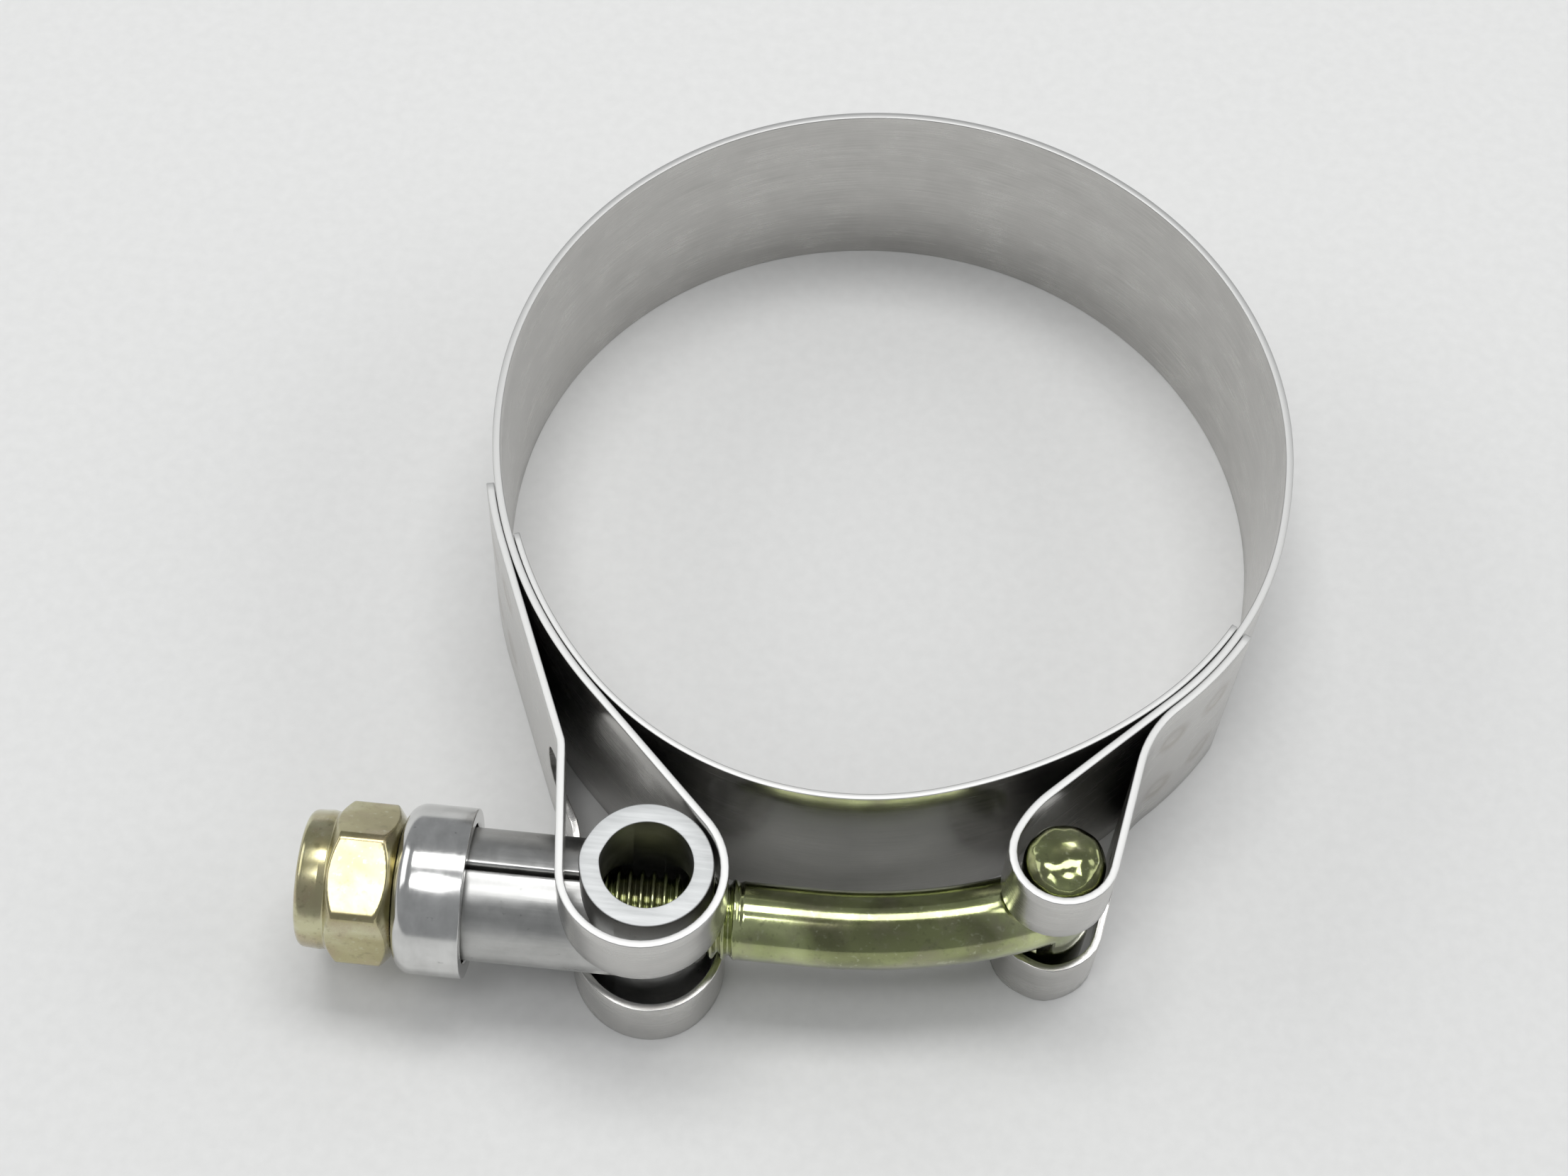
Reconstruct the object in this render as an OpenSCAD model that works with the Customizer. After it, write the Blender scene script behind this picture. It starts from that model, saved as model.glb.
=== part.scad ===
// T-bolt hose clamp: a looped band, an inner liner, a swivelling T-bolt, a trunnion, a cap and a lock nut.
// Frame: origin on the hose axis at the lower edge, +Z along the hose, +X along the straight bolt.
// Millimetres and degrees.

/* [Band] */
// Width of the band along the hose
band_width = 19.05; // [12:0.05:30]
// Thickness of the band strip
band_thick = 0.635; // [0.4:0.005:1.2]
// Radius of the hose the clamp goes round
hose_radius = 32.1; // [25:0.1:60]
// Arc of the true ring on the trunnion side, from the back of the ring
left_ring_angle = 86.9; // [60:0.1:110]
// Radius of the flatter side on the trunnion side
left_side_radius = 38.5; // [33:0.1:60]
// Turn of the flatter side on the trunnion side
left_side_angle = 47.2; // [20:0.1:70]
// Straight inner leg of the trunnion loop
left_inner_leg = 14.53; // [8:0.01:25]
// Mean radius of the trunnion loop
left_loop_radius = 6.17; // [4:0.01:10]
// Turn of the trunnion loop
left_loop_angle = 215.5; // [190:0.1:240]
// Straight outer leg of the trunnion loop
left_outer_leg = 11.6; // [5:0.1:20]
// Bend from the outer leg into the trunnion tail
left_tail_bend = 17.6; // [5:0.1:45]
// Radius of the trunnion tail
left_tail_radius = 125; // [60:1:300]
// Turn of the trunnion tail
left_tail_angle = 10.3; // [2:0.1:20]
// Arc of the true ring on the head side, from the back of the ring
right_ring_angle = 92; // [60:0.1:120]
// Radius of the step outward over the liner end
right_step_radius = 45.6; // [33:0.1:60]
// Turn of the step outward over the liner end
right_step_angle = 8.1; // [5:0.1:40]
// Radius of the turn back beside the liner
right_return_radius = 29.1; // [20:0.1:40]
// Turn of the turn back beside the liner
right_return_angle = 35.2; // [15:0.1:50]
// Straight inner leg of the head loop
right_inner_leg = 13.2; // [8:0.1:25]
// Radius of the turn from the inner leg into the head loop
right_entry_radius = 10.6; // [5:0.1:20]
// Turn from the inner leg into the head loop
right_entry_angle = 22.3; // [5:0.1:40]
// Mean radius of the head loop
right_loop_radius = 3.9; // [3:0.01:8]
// Turn of the head loop
right_loop_angle = 192.2; // [170:0.1:215]
// Straight outer leg of the head loop
right_outer_leg = 9.25; // [5:0.05:20]
// Bend from the outer leg into the head tail
right_tail_bend = 34.5; // [5:0.1:45]
// Radius of the head tail
right_tail_radius = 33.2; // [28:0.1:60]
// Turn of the head tail
right_tail_angle = 15.4; // [2:0.1:30]
// Bend radius of the strip at the trunnion tail, at mid thickness
left_bend_radius = 2.5; // [1:0.1:12]
// Bend radius of the strip at the head tail, at mid thickness
right_bend_radius = 9.6; // [1:0.1:15]

/* [Slots] */
// Play between the trunnion sleeve and its slot, each side
sleeve_slot_play = 0.3; // [0.1:0.05:1]
// Play between the bolt thread and the narrow part of the trunnion slot, each side
thread_slot_play = 0.35; // [0.1:0.05:1]
// Play between the bolt shank and its slot, each side
shank_slot_play = 0.45; // [0.1:0.05:1]
// Place of the sleeve slot's first round end on the outer leg
left_slot_start = 1.2; // [0.2:0.1:2]
// Place of the sleeve slot's last round end on the outer leg
left_slot_leg = 9; // [3:0.1:12]
// Straight run of the head slot on the outer leg, up to its round end
right_slot_leg = 2.5; // [0.5:0.1:8]

/* [Liner] */
// Thickness of the liner strip
liner_thick = 0.5; // [0.3:0.01:1]
// Gap between the liner and the true ring
liner_gap = 0.02; // [0:0.01:0.2]
// Angle of the liner end at the head side
liner_start_angle = -29.9; // [-60:0.1:-10]
// Turn of the liner part that is flush with the ring
liner_flush_angle = 18.2; // [5:0.1:40]
// Radius of the flatter part of the liner
liner_flat_radius = 43.1; // [33:0.1:80]
// Turn of the flatter part of the liner
liner_flat_angle = 24.6; // [5:0.1:50]
// Radius of the front of the liner
liner_front_radius = 26.75; // [20:0.05:40]
// Turn of the front of the liner
liner_front_angle = 64.1; // [30:0.1:90]
// Radius of the liner at the trunnion side
liner_end_radius = 36; // [28:0.1:60]
// Turn of the liner at the trunnion side
liner_end_angle = 22.4; // [5:0.1:50]

/* [Bolt] */
// Outer diameter of the bolt thread
thread_diameter = 6.35; // [5:0.05:10]
// Diameter of the plain shank
shank_diameter = 6.15; // [4.5:0.05:9]
// Depth of the free bolt end inside the nut's outer face
bolt_recess = 0.2; // [0:0.1:2]
// Bevel of the free bolt end
thread_bevel = 0.6; // [0.2:0.1:1.5]
// Thread length from the barrel axis toward the head
thread_run = 7.6; // [5:0.1:14]
// Straight plain shank between the thread and the curve
plain_run = 5; // [1:0.1:10]
// Sideways seat of the T-head from the middle of its loop
head_seat_side = 0.055; // [-0.3:0.001:0.3]
// Seat of the T-head from the middle of its loop, toward the hose
head_seat_back = 0.069; // [-0.3:0.001:0.3]
// Diameter of the T-head
head_diameter = 6.2; // [5:0.05:10]
// Length of the T-head
head_length = 17.6; // [10:0.1:19]
// Rise of the domed ends of the T-head
head_dome = 1.4; // [0.4:0.1:2.5]
// Fullness of the domed ends, from round (1) to flat (0.2)
head_fullness = 0.6; // [0.2:0.05:1]

/* [Trunnion] */
// Sideways seat of the barrel from the middle of its loop
trunnion_seat_side = 0.294; // [-0.6:0.002:0.6]
// Seat of the barrel from the middle of its loop, toward the hose
trunnion_seat_back = 0.65; // [-0.6:0.01:0.8]
// Outer diameter of the barrel
barrel_diameter = 10.1; // [8:0.05:14]
// Bore of the barrel
barrel_bore = 7; // [5:0.05:10]
// Height of the barrel
barrel_height = 17.3; // [12:0.1:19]
// Outer diameter of the sleeve
sleeve_diameter = 10.3; // [8:0.05:14]
// Play between the bolt thread and the sleeve bore, each side
sleeve_play = 0.28; // [0.1:0.01:0.6]
// Length of the sleeve from the barrel axis
sleeve_length = 17.5; // [8:0.1:30]
// Diameter of the bolt exit in the barrel
exit_diameter = 7.6; // [6.5:0.05:9]
// Edge bevel of the barrel and the sleeve
trunnion_edge = 0.15; // [0.1:0.05:0.6]
// Width of the open seam along the top of the sleeve
seam_width = 0.35; // [0.2:0.05:1.5]
// Reach of the seam into the barrel wall
seam_reach = 0.25; // [0.05:0.05:1]

/* [Cap] */
// Outer diameter of the cap
cap_diameter = 13.2; // [11:0.1:18]
// Length of the cap
cap_length = 5.4; // [3:0.1:9]
// Thickness of the cap floor
cap_floor = 1.5; // [0.8:0.05:3]
// Gap between the cap floor and the sleeve end
cap_gap = 0.1; // [0.02:0.01:0.5]
// Play between the cap skirt and the sleeve, each side
cap_play = 0.27; // [0.1:0.01:0.6]
// Edge radius of the cap
cap_round = 1.9; // [0.5:0.05:2.5]
// Diameter of the bolt hole in the cap floor
cap_hole = 7.1; // [6.5:0.05:9]

/* [Nut] */
// Size across the flats
nut_flats = 11.11; // [8:0.01:17]
// Height of the hexagon part
nut_hex_height = 5.1; // [3:0.1:9]
// Height of the round collar
nut_collar_height = 2.3; // [1:0.1:4]
// Outer diameter of the collar
nut_collar_diameter = 10.9; // [8:0.1:14]
// Bevel of the collar edge
nut_edge = 0.6; // [0.2:0.05:1]
// Depth of the corner bevel below the flats, at both faces of the hexagon
nut_face_bevel = 0.3; // [0.1:0.05:0.6]
// Slope of the corner bevel
nut_bevel_angle = 35; // [20:1:45]
// Turn of the hexagon about the bolt axis
nut_turn = 50; // [0:1:60]
// Gap between the nut face and the cap
nut_gap = 0.1; // [0.02:0.01:0.5]
// Running fit between the nut and the thread, each side
thread_fit = 0.05; // [0.01:0.01:0.1]
// Outer diameter of the insert ring
insert_diameter = 8.8; // [7:0.05:12]
// Height of the insert ring
insert_height = 1.8; // [1:0.05:3]
// Thickness of the lip that holds the insert
insert_lip = 0.3; // [0.2:0.05:0.8]

/* [Hidden] */
$fn = 96;
eps = 0.02;
over = 1;
mid_z = band_width / 2;
ring_radius = hose_radius + band_thick / 2;
liner_radius = hose_radius + liner_gap + liner_thick / 2;
lap = 0.3;
lap_step = 0.015;
left_path = [
    [left_side_radius, left_side_angle],
    [left_inner_leg, 0],
    [left_loop_radius, -left_loop_angle],
    [left_outer_leg, 0],
    [left_bend_radius, left_tail_bend],
    [left_tail_radius, -left_tail_angle]
];
right_path = [
    [right_step_radius, -right_step_angle],
    [right_return_radius, -right_return_angle],
    [right_inner_leg, 0],
    [right_entry_radius, right_entry_angle],
    [right_loop_radius, right_loop_angle],
    [right_outer_leg, 0],
    [right_bend_radius, -right_tail_bend],
    [right_tail_radius, right_tail_angle]
];
liner_path = [
    [liner_radius, -liner_flush_angle],
    [liner_flat_radius, -liner_flat_angle],
    [liner_front_radius, -liner_front_angle],
    [liner_end_radius, -liner_end_angle]
];
left_start = ring_end(90 + left_ring_angle, 1);
right_start = ring_end(90 - right_ring_angle, -1);
left_loop = arc_middle(path_end(left_start, left_path, 2), left_path[2]);
right_loop = arc_middle(path_end(right_start, right_path, 4), right_path[4]);
trunnion_x = left_loop[0] + trunnion_seat_side;
bolt_front = -left_loop[1] - trunnion_seat_back;
head_x = right_loop[0] + head_seat_side;
head_front = -right_loop[1] - head_seat_back;
thread_stop_x = trunnion_x + thread_run;
bend_start_x = thread_stop_x + plain_run;
sleeve_end_x = trunnion_x - sleeve_length;
slot_reach = 3 * band_thick;
thread_slot = thread_diameter + 2 * thread_slot_play;
sleeve_slot = sleeve_diameter + 2 * sleeve_slot_play;
shank_slot = shank_diameter + 2 * shank_slot_play;
bend_run = head_x - bend_start_x;
bend_rise = bolt_front - head_front;
bend_radius = (bend_run * bend_run + bend_rise * bend_rise) / (2 * bend_rise);
bend_angle = asin(bend_run / bend_radius);
sleeve_bore = thread_diameter + 2 * sleeve_play;
cap_face_x = sleeve_end_x - cap_gap - cap_floor;
cap_bore = sleeve_diameter + 2 * cap_play;
nut_face_x = cap_face_x - nut_gap;
nut_bore = thread_diameter + 2 * thread_fit;
nut_height = nut_hex_height + nut_collar_height;
bolt_end_x = nut_face_x - nut_height + bolt_recess;
nut_corner = nut_flats / cos(30);
insert_top = nut_height - insert_lip;

// End of the true ring as [x, y, heading]; side is 1 where the strip goes on counter-clockwise, else -1
function ring_end(angle, side) = [ring_radius * cos(angle), ring_radius * sin(angle), angle + side * 90];

// Place and heading after one strip piece
function strip_next(at, size, turn) =
    let (run = turn == 0 ? size : size * sin(abs(turn)))
    let (rise = turn == 0 ? 0 : sign(turn) * size * (1 - cos(turn)))
    [
        at[0] + run * cos(at[2]) - rise * sin(at[2]),
        at[1] + run * sin(at[2]) + rise * cos(at[2]),
        at[2] + turn
    ];

// Place and heading after the given number of path pieces
function path_end(at, path, count, first = 0) =
    first < count ? path_end(strip_next(at, path[first][0], path[first][1]), path, count, first + 1) : at;

// Middle of an arc piece that starts at the given place and heading
function arc_middle(at, piece) = [
    at[0] - sign(piece[1]) * piece[0] * sin(at[2]),
    at[1] + sign(piece[1]) * piece[0] * cos(at[2])
];

// One piece of a strip: straight where the turn is 0, else an arc to the left (+) or to the right (-)
module strip_piece(size, turn, thick, over, inset) {
    thin = thick - 2 * inset;
    high = band_width - 2 * inset;
    if (turn == 0) {
        translate([-over, -thin / 2, inset])
            cube([size + 2 * over, thin, high]);
    } else {
        extra = over / size * 180 / PI;
        mirror([0, turn < 0 ? 1 : 0, 0])
            translate([0, size, inset])
                rotate([0, 0, -90 - extra])
                    rotate_extrude(angle = abs(turn) + 2 * extra)
                        translate([size - thin / 2, 0])
                            square([thin, high]);
    }
}

// Moves its children to the far end of a strip piece
module strip_step(size, turn) {
    run = turn == 0 ? size : size * sin(abs(turn));
    rise = turn == 0 ? 0 : sign(turn) * size * (1 - cos(turn));
    translate([run, rise, 0])
        rotate([0, 0, turn])
            children();
}

// A strip along a path of [radius or length, turn] pieces; every second piece laps into its neighbours
module strip(path, thick, lapped, first = 0) {
    if (first < len(path)) {
        laps = (first + lapped) % 2;
        strip_piece(path[first][0], path[first][1], thick, lap * laps, lap_step * laps);
        strip_step(path[first][0], path[first][1])
            strip(path, thick, lapped, first + 1);
    }
}

// Moves its children to the end of the given number of path pieces
module strip_end(path, count, first = 0) {
    if (first < count) {
        strip_step(path[first][0], path[first][1])
            strip_end(path, count, first + 1)
                children();
    } else {
        children();
    }
}

// Turns a shape made along +Z so that it lies along +X
module along_x() {
    rotate([0, 90, 0])
        children();
}

// Puts its children at the end of the true ring on the trunnion side, heading on along the strip
module left_end() {
    rotate([0, 0, 90 + left_ring_angle])
        translate([ring_radius, 0, 0])
            rotate([0, 0, 90])
                children();
}

// Puts its children at the end of the true ring on the head side, heading on along the strip
module right_end() {
    rotate([0, 0, 90 - right_ring_angle])
        translate([ring_radius, 0, 0])
            rotate([0, 0, -90])
                children();
}

// Round end of a slot, at the middle of the strip's width
module slot_end(high) {
    translate([0, 0, mid_z])
        rotate([90, 0, 0])
            cylinder(d = high, h = 2 * slot_reach, center = true);
}

// Slot through a loop: a round end before it, the loop itself, and a run with a round end on the outer leg
module loop_slot(path, loop, leg, high) {
    size = path[loop][0];
    turn = path[loop][1];
    strip_end(path, loop) {
        slot_end(high);
        mirror([0, turn < 0 ? 1 : 0, 0])
            translate([0, size, mid_z - high / 2 + lap_step])
                rotate([0, 0, -90])
                    rotate_extrude(angle = abs(turn))
                        translate([size - slot_reach, 0])
                            square([2 * slot_reach, high - 2 * lap_step]);
    }
    strip_end(path, loop + 1) {
        translate([-lap, -slot_reach, mid_z - high / 2])
            cube([leg + lap, 2 * slot_reach, high]);
        translate([leg, 0, 0])
            slot_end(high);
    }
}

// Slot with two round ends along a straight leg
module leg_slot(start, stop, high) {
    translate([start, -slot_reach, mid_z - high / 2])
        cube([stop - start, 2 * slot_reach, high]);
    translate([start, 0, 0])
        slot_end(high);
    translate([stop, 0, 0])
        slot_end(high);
}

module band() {
    color("silver")
        difference() {
            union() {
                rotate([0, 0, 90 - right_ring_angle])
                    rotate_extrude(angle = right_ring_angle + left_ring_angle)
                        translate([hose_radius, 0])
                            square([band_thick, band_width]);
                left_end()
                    strip(left_path, band_thick, 1);
                right_end()
                    strip(right_path, band_thick, 1);
            }
            left_end() {
                loop_slot(left_path, 2, left_slot_start, thread_slot);
                strip_end(left_path, 3)
                    leg_slot(left_slot_start, left_slot_leg, sleeve_slot);
            }
            right_end()
                loop_slot(right_path, 4, right_slot_leg, shank_slot);
        }
}

module liner() {
    color("gainsboro")
        rotate([0, 0, liner_start_angle])
            translate([liner_radius, 0, 0])
                rotate([0, 0, -90])
                    strip(liner_path, liner_thick, 0);
}

module trunnion() {
    barrel = barrel_diameter / 2;
    sleeve = sleeve_diameter / 2;
    bore = barrel_bore / 2;
    half = barrel_height / 2;
    flare = trunnion_edge + over;
    color("lightgray")
        translate([trunnion_x, -bolt_front, mid_z])
            difference() {
                union() {
                    rotate_extrude()
                        polygon([
                            [0, -half],
                            [barrel - trunnion_edge, -half],
                            [barrel, trunnion_edge - half],
                            [barrel, half - trunnion_edge],
                            [barrel - trunnion_edge, half],
                            [0, half]
                        ]);
                    translate([-sleeve_length, 0, 0])
                        along_x()
                            rotate_extrude()
                                polygon([
                                    [0, 0],
                                    [sleeve - trunnion_edge, 0],
                                    [sleeve, trunnion_edge],
                                    [sleeve, sleeve_length],
                                    [0, sleeve_length]
                                ]);
                }
                rotate_extrude()
                    polygon([
                        [0, -half - over],
                        [bore + flare, -half - over],
                        [bore, trunnion_edge - half],
                        [bore, half - trunnion_edge],
                        [bore + flare, half + over],
                        [0, half + over]
                    ]);
                translate([-sleeve_length - over, 0, 0])
                    along_x()
                        cylinder(d = sleeve_bore, h = sleeve_length + over);
                translate([over, 0, 0])
                    along_x()
                        cylinder(d = exit_diameter, h = barrel_diameter);
                translate([-sleeve_length - over, -seam_width / 2, 0])
                    cube([over + sleeve_length - barrel + seam_reach, seam_width, sleeve_diameter]);
            }
}

// Radius of the T-head's domed end, from its side (0) to its middle (90)
function dome_radius(a) = a < 90 ? head_diameter / 2 * pow(cos(a), head_fullness) : 0;

module t_bolt() {
    half = head_length / 2;
    thread = thread_diameter / 2;
    shank = shank_diameter / 2;
    run = thread_stop_x - bolt_end_x;
    color("goldenrod")
        union() {
            translate([bolt_end_x, -bolt_front, mid_z])
                along_x()
                    rotate_extrude()
                        polygon([
                            [0, 0],
                            [thread - thread_bevel, 0],
                            [thread, thread_bevel],
                            [thread, run - 2 * (thread - shank)],
                            [shank, run],
                            [shank, run + plain_run + lap],
                            [0, run + plain_run + lap]
                        ]);
            translate([bend_start_x, bend_radius - bolt_front, mid_z])
                rotate([0, 0, -90])
                    rotate_extrude(angle = bend_angle)
                        translate([bend_radius, 0])
                            circle(d = shank_diameter - 2 * lap_step);
            translate([head_x, -head_front, mid_z])
                rotate_extrude()
                    polygon(concat(
                        [for (a = [90:-15:0]) [dome_radius(a), -half + head_dome * (1 - sin(a))]],
                        [for (a = [0:15:90]) [dome_radius(a), half - head_dome * (1 - sin(a))]]
                    ));
        }
}

module cap() {
    edge = cap_diameter / 2 - cap_round;
    color("silver")
        translate([cap_face_x, -bolt_front, mid_z])
            along_x()
                rotate_extrude()
                    polygon(concat(
                        [[cap_hole / 2, 0]],
                        [for (a = [0:15:90]) [edge + cap_round * sin(a), cap_round * (1 - cos(a))]],
                        [[cap_diameter / 2, cap_length],
                         [cap_bore / 2, cap_length],
                         [cap_bore / 2, cap_floor],
                         [cap_hole / 2, cap_floor]]
                    ));
}

// Moves its children to the nut face, with +Z running away from the cap
module at_nut() {
    translate([nut_face_x, -bolt_front, mid_z])
        rotate([nut_turn, 0, 0])
            rotate([0, -90, 0])
                children();
}

module nut() {
    collar = nut_collar_diameter / 2;
    corner = nut_corner / 2;
    flat = nut_flats / 2;
    face = flat - nut_face_bevel;
    rise = (corner - face) * tan(nut_bevel_angle);
    color("khaki")
        at_nut()
            difference() {
                union() {
                    intersection() {
                        cylinder(d = nut_corner, h = nut_hex_height, $fn = 6);
                        rotate_extrude()
                            polygon([
                                [0, 0],
                                [face, 0],
                                [corner, rise],
                                [corner, nut_hex_height - rise],
                                [face, nut_hex_height],
                                [0, nut_hex_height]
                            ]);
                    }
                    translate([0, 0, nut_hex_height - over])
                        cylinder(r = collar, h = nut_collar_height + over - nut_edge);
                    translate([0, 0, nut_height - nut_edge])
                        cylinder(r1 = collar, r2 = collar - nut_edge, h = nut_edge);
                }
                translate([0, 0, -over])
                    cylinder(d = nut_bore, h = nut_height + 2 * over);
                translate([0, 0, insert_top - insert_height - eps])
                    cylinder(d = insert_diameter, h = insert_height + 2 * eps);
                translate([0, 0, insert_top])
                    cylinder(d = insert_diameter - 2 * insert_lip, h = insert_lip + over);
            }
}

module nut_insert() {
    color("white")
        at_nut()
            translate([0, 0, insert_top - insert_height])
                difference() {
                    cylinder(d = insert_diameter - 2 * eps, h = insert_height);
                    translate([0, 0, -over])
                        cylinder(d = nut_bore, h = insert_height + 2 * over);
                }
}

band();
liner();
trunnion();
t_bolt();
cap();
nut();
nut_insert();
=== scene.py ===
"""T-bolt hose clamp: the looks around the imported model. Metres, same frame as the solids."""
import math

import bmesh
import bpy
from mathutils import Euler, Matrix, Vector
from mathutils import noise as mnoise


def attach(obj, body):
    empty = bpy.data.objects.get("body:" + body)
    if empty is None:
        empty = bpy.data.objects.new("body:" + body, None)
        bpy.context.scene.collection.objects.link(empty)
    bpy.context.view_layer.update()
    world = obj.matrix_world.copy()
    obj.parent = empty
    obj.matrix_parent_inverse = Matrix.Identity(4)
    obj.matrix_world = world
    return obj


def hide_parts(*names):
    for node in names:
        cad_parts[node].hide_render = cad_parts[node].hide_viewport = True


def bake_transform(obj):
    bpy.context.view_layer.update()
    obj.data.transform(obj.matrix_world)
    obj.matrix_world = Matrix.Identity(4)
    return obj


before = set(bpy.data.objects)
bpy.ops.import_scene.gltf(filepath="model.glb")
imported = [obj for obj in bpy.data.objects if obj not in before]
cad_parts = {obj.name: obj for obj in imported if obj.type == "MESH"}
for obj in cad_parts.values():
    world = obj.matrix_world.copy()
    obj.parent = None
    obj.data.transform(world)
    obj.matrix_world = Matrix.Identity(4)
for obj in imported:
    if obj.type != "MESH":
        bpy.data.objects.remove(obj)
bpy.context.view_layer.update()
scene = bpy.context.scene

# Sizes that several pieces share, in millimetres and degrees
MM = 0.001
TINY = 1e-6
WIDTH = 19.05
MID_Z = WIDTH / 2
BAND_T = 0.635
LINER_T = 0.5
LINER_GAP = 0.02
HOSE_R = 32.1
RING_R = HOSE_R + BAND_T / 2
LINER_R = HOSE_R + LINER_GAP + LINER_T / 2
BOLT_Y = -41.2
HEAD_X, HEAD_Y = 15.5, -37.25
TRUNNION_X = -15.6

# Bends of the strips: radius and turn of an arc, or length and 0 for a straight
LEFT_RING, RIGHT_RING = 86.9, 92.0
LEFT_PATH = [
    (38.5, 47.2), (14.53, 0), (6.17, -217.5), (10.2, 0), (2.5, 15.7), (17.91, 0), (39.165, -8.58),
]
RIGHT_PATH = [
    (45.6, -8.1), (29.1, -35.2), (13.2, 0), (10.6, 22.3),
    (3.9, 192.2), (9.25, 0), (9.6, -34.5), (33.2, 15.4),
]
LEFT_LOOP_BEND, LEFT_LEG_BEND = 2, 3
RIGHT_LOOP_BEND, RIGHT_LEG_BEND = 4, 5
LINER_START = -29.9
LINER_PATH = [(LINER_R, -18.2), (43.1, -24.6), (26.75, -64.1), (36, -22.4)]


# Meshes

MERGE_DIST, SLIVER_DIST = 1e-7, 1e-8
CORNER_SHARE = 0.49


def new_object(name, verts, faces, uvs=None):
    """A mesh object from points in millimetres; uvs are per vertex."""
    mesh = bpy.data.meshes.new(name)
    mesh.from_pydata([(x * MM, y * MM, z * MM) for x, y, z in verts], [], faces)
    if uvs:
        layer = mesh.uv_layers.new(name="strip")
        for loop in mesh.loops:
            layer.data[loop.index].uv = uvs[loop.vertex_index]
    mesh.update()
    obj = bpy.data.objects.new(name, mesh)
    scene.collection.objects.link(obj)
    return obj


def freeze(obj):
    """Bakes the modifiers into the mesh."""
    bpy.context.view_layer.update()
    graph = bpy.context.evaluated_depsgraph_get()
    mesh = bpy.data.meshes.new_from_object(obj.evaluated_get(graph))
    obj.modifiers.clear()
    old = obj.data
    obj.data = mesh
    bpy.data.meshes.remove(old)


def shade(obj, angle):
    """Smooth faces, with sharp edges where the faces turn by more than the angle."""
    for poly in obj.data.polygons:
        poly.use_smooth = True
    obj.data.set_sharp_from_angle(angle=math.radians(angle))


def face_outward(obj, merge=False):
    """Turns all faces outward; with merge, points that lie on each other are joined first."""
    mesh = bmesh.new()
    mesh.from_mesh(obj.data)
    if merge:
        bmesh.ops.remove_doubles(mesh, verts=mesh.verts, dist=MERGE_DIST)
        bmesh.ops.dissolve_degenerate(mesh, edges=mesh.edges, dist=SLIVER_DIST)
    bmesh.ops.recalc_face_normals(mesh, faces=mesh.faces)
    mesh.to_mesh(obj.data)
    mesh.free()
    return obj


def join_shape(obj, other, operation):
    """Exact boolean of obj with other; other is used up."""
    mod = obj.modifiers.new("cut", "BOOLEAN")
    mod.operation = operation
    mod.solver = "EXACT"
    mod.object = other
    freeze(obj)
    bpy.data.objects.remove(other)
    return obj


def ring_faces(rings, turns, closed):
    """Faces between rings of equally many points; closed joins the last ring to the first."""
    faces = []
    for i in range(rings if closed else rings - 1):
        j = (i + 1) % rings
        for k in range(turns):
            m = (k + 1) % turns
            faces.append((i * turns + k, i * turns + m, j * turns + m, j * turns + k))
    return faces


def lathe(name, profile, origin, axis, turns=96, warp=None):
    """A closed turned shape from pairs of distance along the axis and radius; axis is 'x' or 'z'."""
    ox, oy, oz = origin
    verts = []
    for along, radius in profile:
        for k in range(turns):
            a = 2 * math.pi * k / turns
            r = radius + (warp(a) if warp and radius > 0 else 0)
            u, v = r * math.cos(a), r * math.sin(a)
            verts.append((ox + along, oy + u, oz + v) if axis == "x" else (ox + u, oy + v, oz + along))
    hollow = profile[0][1] > TINY
    obj = new_object(name, verts, ring_faces(len(profile), turns, hollow))
    return face_outward(obj, merge=True)


def rounded(points, steps=5):
    """A profile with rounded corners. points are (along, radius, corner radius)."""
    out = []
    n = len(points)
    for i, (x, y, r) in enumerate(points):
        if r <= 0:
            out.append((x, y))
            continue
        ax, ay = points[i - 1][0] - x, points[i - 1][1] - y
        bx, by = points[(i + 1) % n][0] - x, points[(i + 1) % n][1] - y
        la, lb = math.hypot(ax, ay), math.hypot(bx, by)
        ax, ay, bx, by = ax / la, ay / la, bx / lb, by / lb
        half = math.acos(max(-1, min(1, ax * bx + ay * by))) / 2
        back = min(r / math.tan(half), CORNER_SHARE * la, CORNER_SHARE * lb)
        r = back * math.tan(half)
        mx, my = ax + bx, ay + by
        ml = math.hypot(mx, my)
        cx, cy = x + mx / ml * r / math.sin(half), y + my / ml * r / math.sin(half)
        a0 = math.atan2(y + ay * back - cy, x + ax * back - cx)
        a1 = math.atan2(y + by * back - cy, x + bx * back - cx)
        turn = (a1 - a0 + math.pi) % (2 * math.pi) - math.pi
        for k in range(steps + 1):
            a = a0 + turn * k / steps
            out.append((cx + r * math.cos(a), cy + r * math.sin(a)))
    return out


def ease(low, high, value):
    """Smooth step from 0 at low to 1 at high."""
    k = min(1.0, max(0.0, (value - low) / (high - low)))
    return k * k * (3 - 2 * k)


# Routes of the strips

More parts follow.
